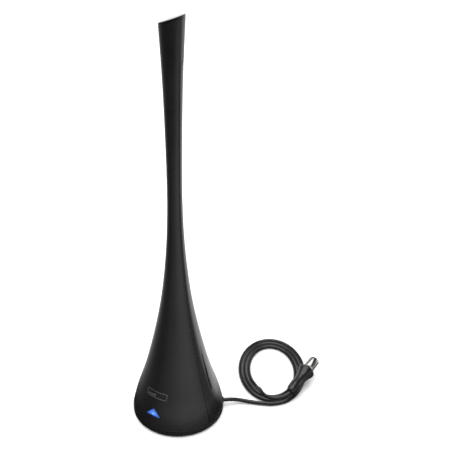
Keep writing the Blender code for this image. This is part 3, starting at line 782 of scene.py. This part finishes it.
def area_light(name, place, target, size, power, colour=(1, 1, 1)):
    data = bpy.data.lights.new(name, "AREA")
    data.shape = "RECTANGLE"
    data.size, data.size_y = size
    data.energy = power
    data.color = colour
    lamp = bpy.data.objects.new(name, data)
    lamp.location = place
    lamp.rotation_euler = (Vector(target) - Vector(place)).to_track_quat("-Z", "Y").to_euler()
    lamp.visible_camera = False
    bpy.context.scene.collection.objects.link(lamp)
    return lamp


def make_lights():
    area_light("overhead", (-0.15, 0.1, 1.5), (0, 0, 0), (1.6, 1.6), 22)


# How bright the studio is by angle from the front, turning towards +X, as the gloss reflects it
STUDIO = [
    (-180, 1.0), (-160, 1.3), (-147, 1.3), (-117, 1.0), (-92, 0.45), (-77, 0.28), (-57, 0.09), (-27, 0.05),
    (12, 0.5), (48, 1.05), (80, 0.95), (100, 0.6), (110, 0.33), (126, 0.3), (134, 0.9), (143, 1.6),
    (160, 1.3), (180, 1.0),
]
RAMP_WHITE = 1.8  # the brightness that the white of its colour ramp stands for


def studio_level(nodes, x, y):
    """The studio's brightness in the direction of (x, y)."""
    angle = nodes.math("ARCTAN2", x, nodes.math("MULTIPLY", y, -1.0))
    share = nodes.math("MULTIPLY_ADD", angle, 1 / (2 * pi), 0.5)
    levels = [((angle + 180) / 360, [level / RAMP_WHITE] * 3) for angle, level in STUDIO]
    return nodes.math("MULTIPLY", nodes.ramp(share, *levels), RAMP_WHITE)


def make_card():
    """What gloss reflects from the table: dark in front of the aerial, and dark right beside any piece, a
    painted contact shadow in the reflections.
    """
    bm = bmesh.new()
    bmesh.ops.create_grid(bm, x_segments=2, y_segments=2, size=3.0)
    card = link("card", smooth_mesh(bm, "card"))
    card.location.z = -0.0004
    card.visible_camera = card.visible_diffuse = card.visible_shadow = card.visible_transmission = False
    material = bpy.data.materials.new("card")
    nodes = Nodes(material)
    x, y, _ = nodes.split(nodes.add("ShaderNodeTexCoord").outputs["Object"])
    edge = nodes.math("ADD", nodes.math("MULTIPLY_ADD", x, -0.47, 0.39), y)
    studio = studio_level(nodes, x, y)
    level = nodes.math("MULTIPLY", studio, nodes.span(edge, 0, 1, -0.11, 0.11, "SMOOTHSTEP"))
    # Painted contact shadow: the card's glow fades where the reflected ray is short, so gloss sees shade
    # right beside any piece.
    distance = nodes.add("ShaderNodeLightPath").outputs["Ray Length"]
    level = nodes.math("MULTIPLY", level, nodes.span(distance, 0.15, 1, 0.02, 0.08, "SMOOTHSTEP"))
    glow = nodes.feed(nodes.add("ShaderNodeEmission"), Strength=level)
    nodes.tree.links.new(glow.outputs["Emission"], nodes.tree.nodes["Material Output"].inputs["Surface"])
    card.data.materials.append(material)


def make_world():
    """A white room; gloss sees the studio low down and little above."""
    world = bpy.data.worlds.new("studio")
    bpy.context.scene.world = world
    nodes = Nodes(world)
    x, y, z = nodes.split(nodes.add("ShaderNodeTexCoord").outputs["Generated"])
    low = nodes.span(z, 1, 0, 0.40, 0.52, "SMOOTHSTEP")
    level = nodes.math("MAXIMUM", nodes.math("MULTIPLY", studio_level(nodes, x, y), low), 0.08)
    reflected = nodes.feed(nodes.add("ShaderNodeBackground"), Color=(1, 1, 1, 1), Strength=level)
    seen = nodes.feed(nodes.add("ShaderNodeBackground"), Color=(1, 1, 1, 1), Strength=1.2)
    mix = nodes.add("ShaderNodeMixShader")
    sockets = [
        nodes.add("ShaderNodeLightPath").outputs["Is Glossy Ray"],
        seen.outputs["Background"], reflected.outputs["Background"],
    ]
    for source, target in zip(sockets, mix.inputs):
        nodes.tree.links.new(source, target)
    nodes.tree.links.new(mix.outputs["Shader"], nodes.tree.nodes["World Output"].inputs["Surface"])


# ---------------------------------------------------------------- making it all

MATERIALS = make_materials()
cable = piece("cable", make_cord(), "cable_black", replaces=["cable_lead", "cable_coil", "cable_tail"])
cable.visible_glossy = False  # the rear panel reflects only the studio
make_gland()
make_plug()
make_shells()
make_window()
make_cap()
make_tray()
make_feet()
make_mark()

CARRIED = {
    "zinc_steel": ["base_screw_1", "base_screw_2", "base_screw_3", "base_screw_4", "ballast_screw",
                   "board_screw_1", "board_screw_2", "board_screw_3", "clamp_screw_1", "clamp_screw_2"],
    "cast_weight": ["ballast_weight"],
    "board_green": ["amplifier_board", "element_board"],
    "tinplate": ["shield_can"],
    "component": ["amplifier_chip"],
    "nylon": ["output_capacitor", "board_socket", "cable_clamp"],
    "copper": ["filter_coil", "lower_arm", "upper_arm"],
    "clear_plastic": ["lamp_led", "light_guide"],
    "foam": ["lower_spacer", "upper_spacer"],
    "cable_black": ["inner_lead"],
    "nickel": ["plug_ferrule"],
}
for finish, names in CARRIED.items():
    for name in names:
        NODES[name].data.materials.clear()
        NODES[name].data.materials.append(MATERIALS[finish])

make_floor()
make_card()
make_lights()
make_world()
bpy.context.scene.view_settings.view_transform = "Standard"
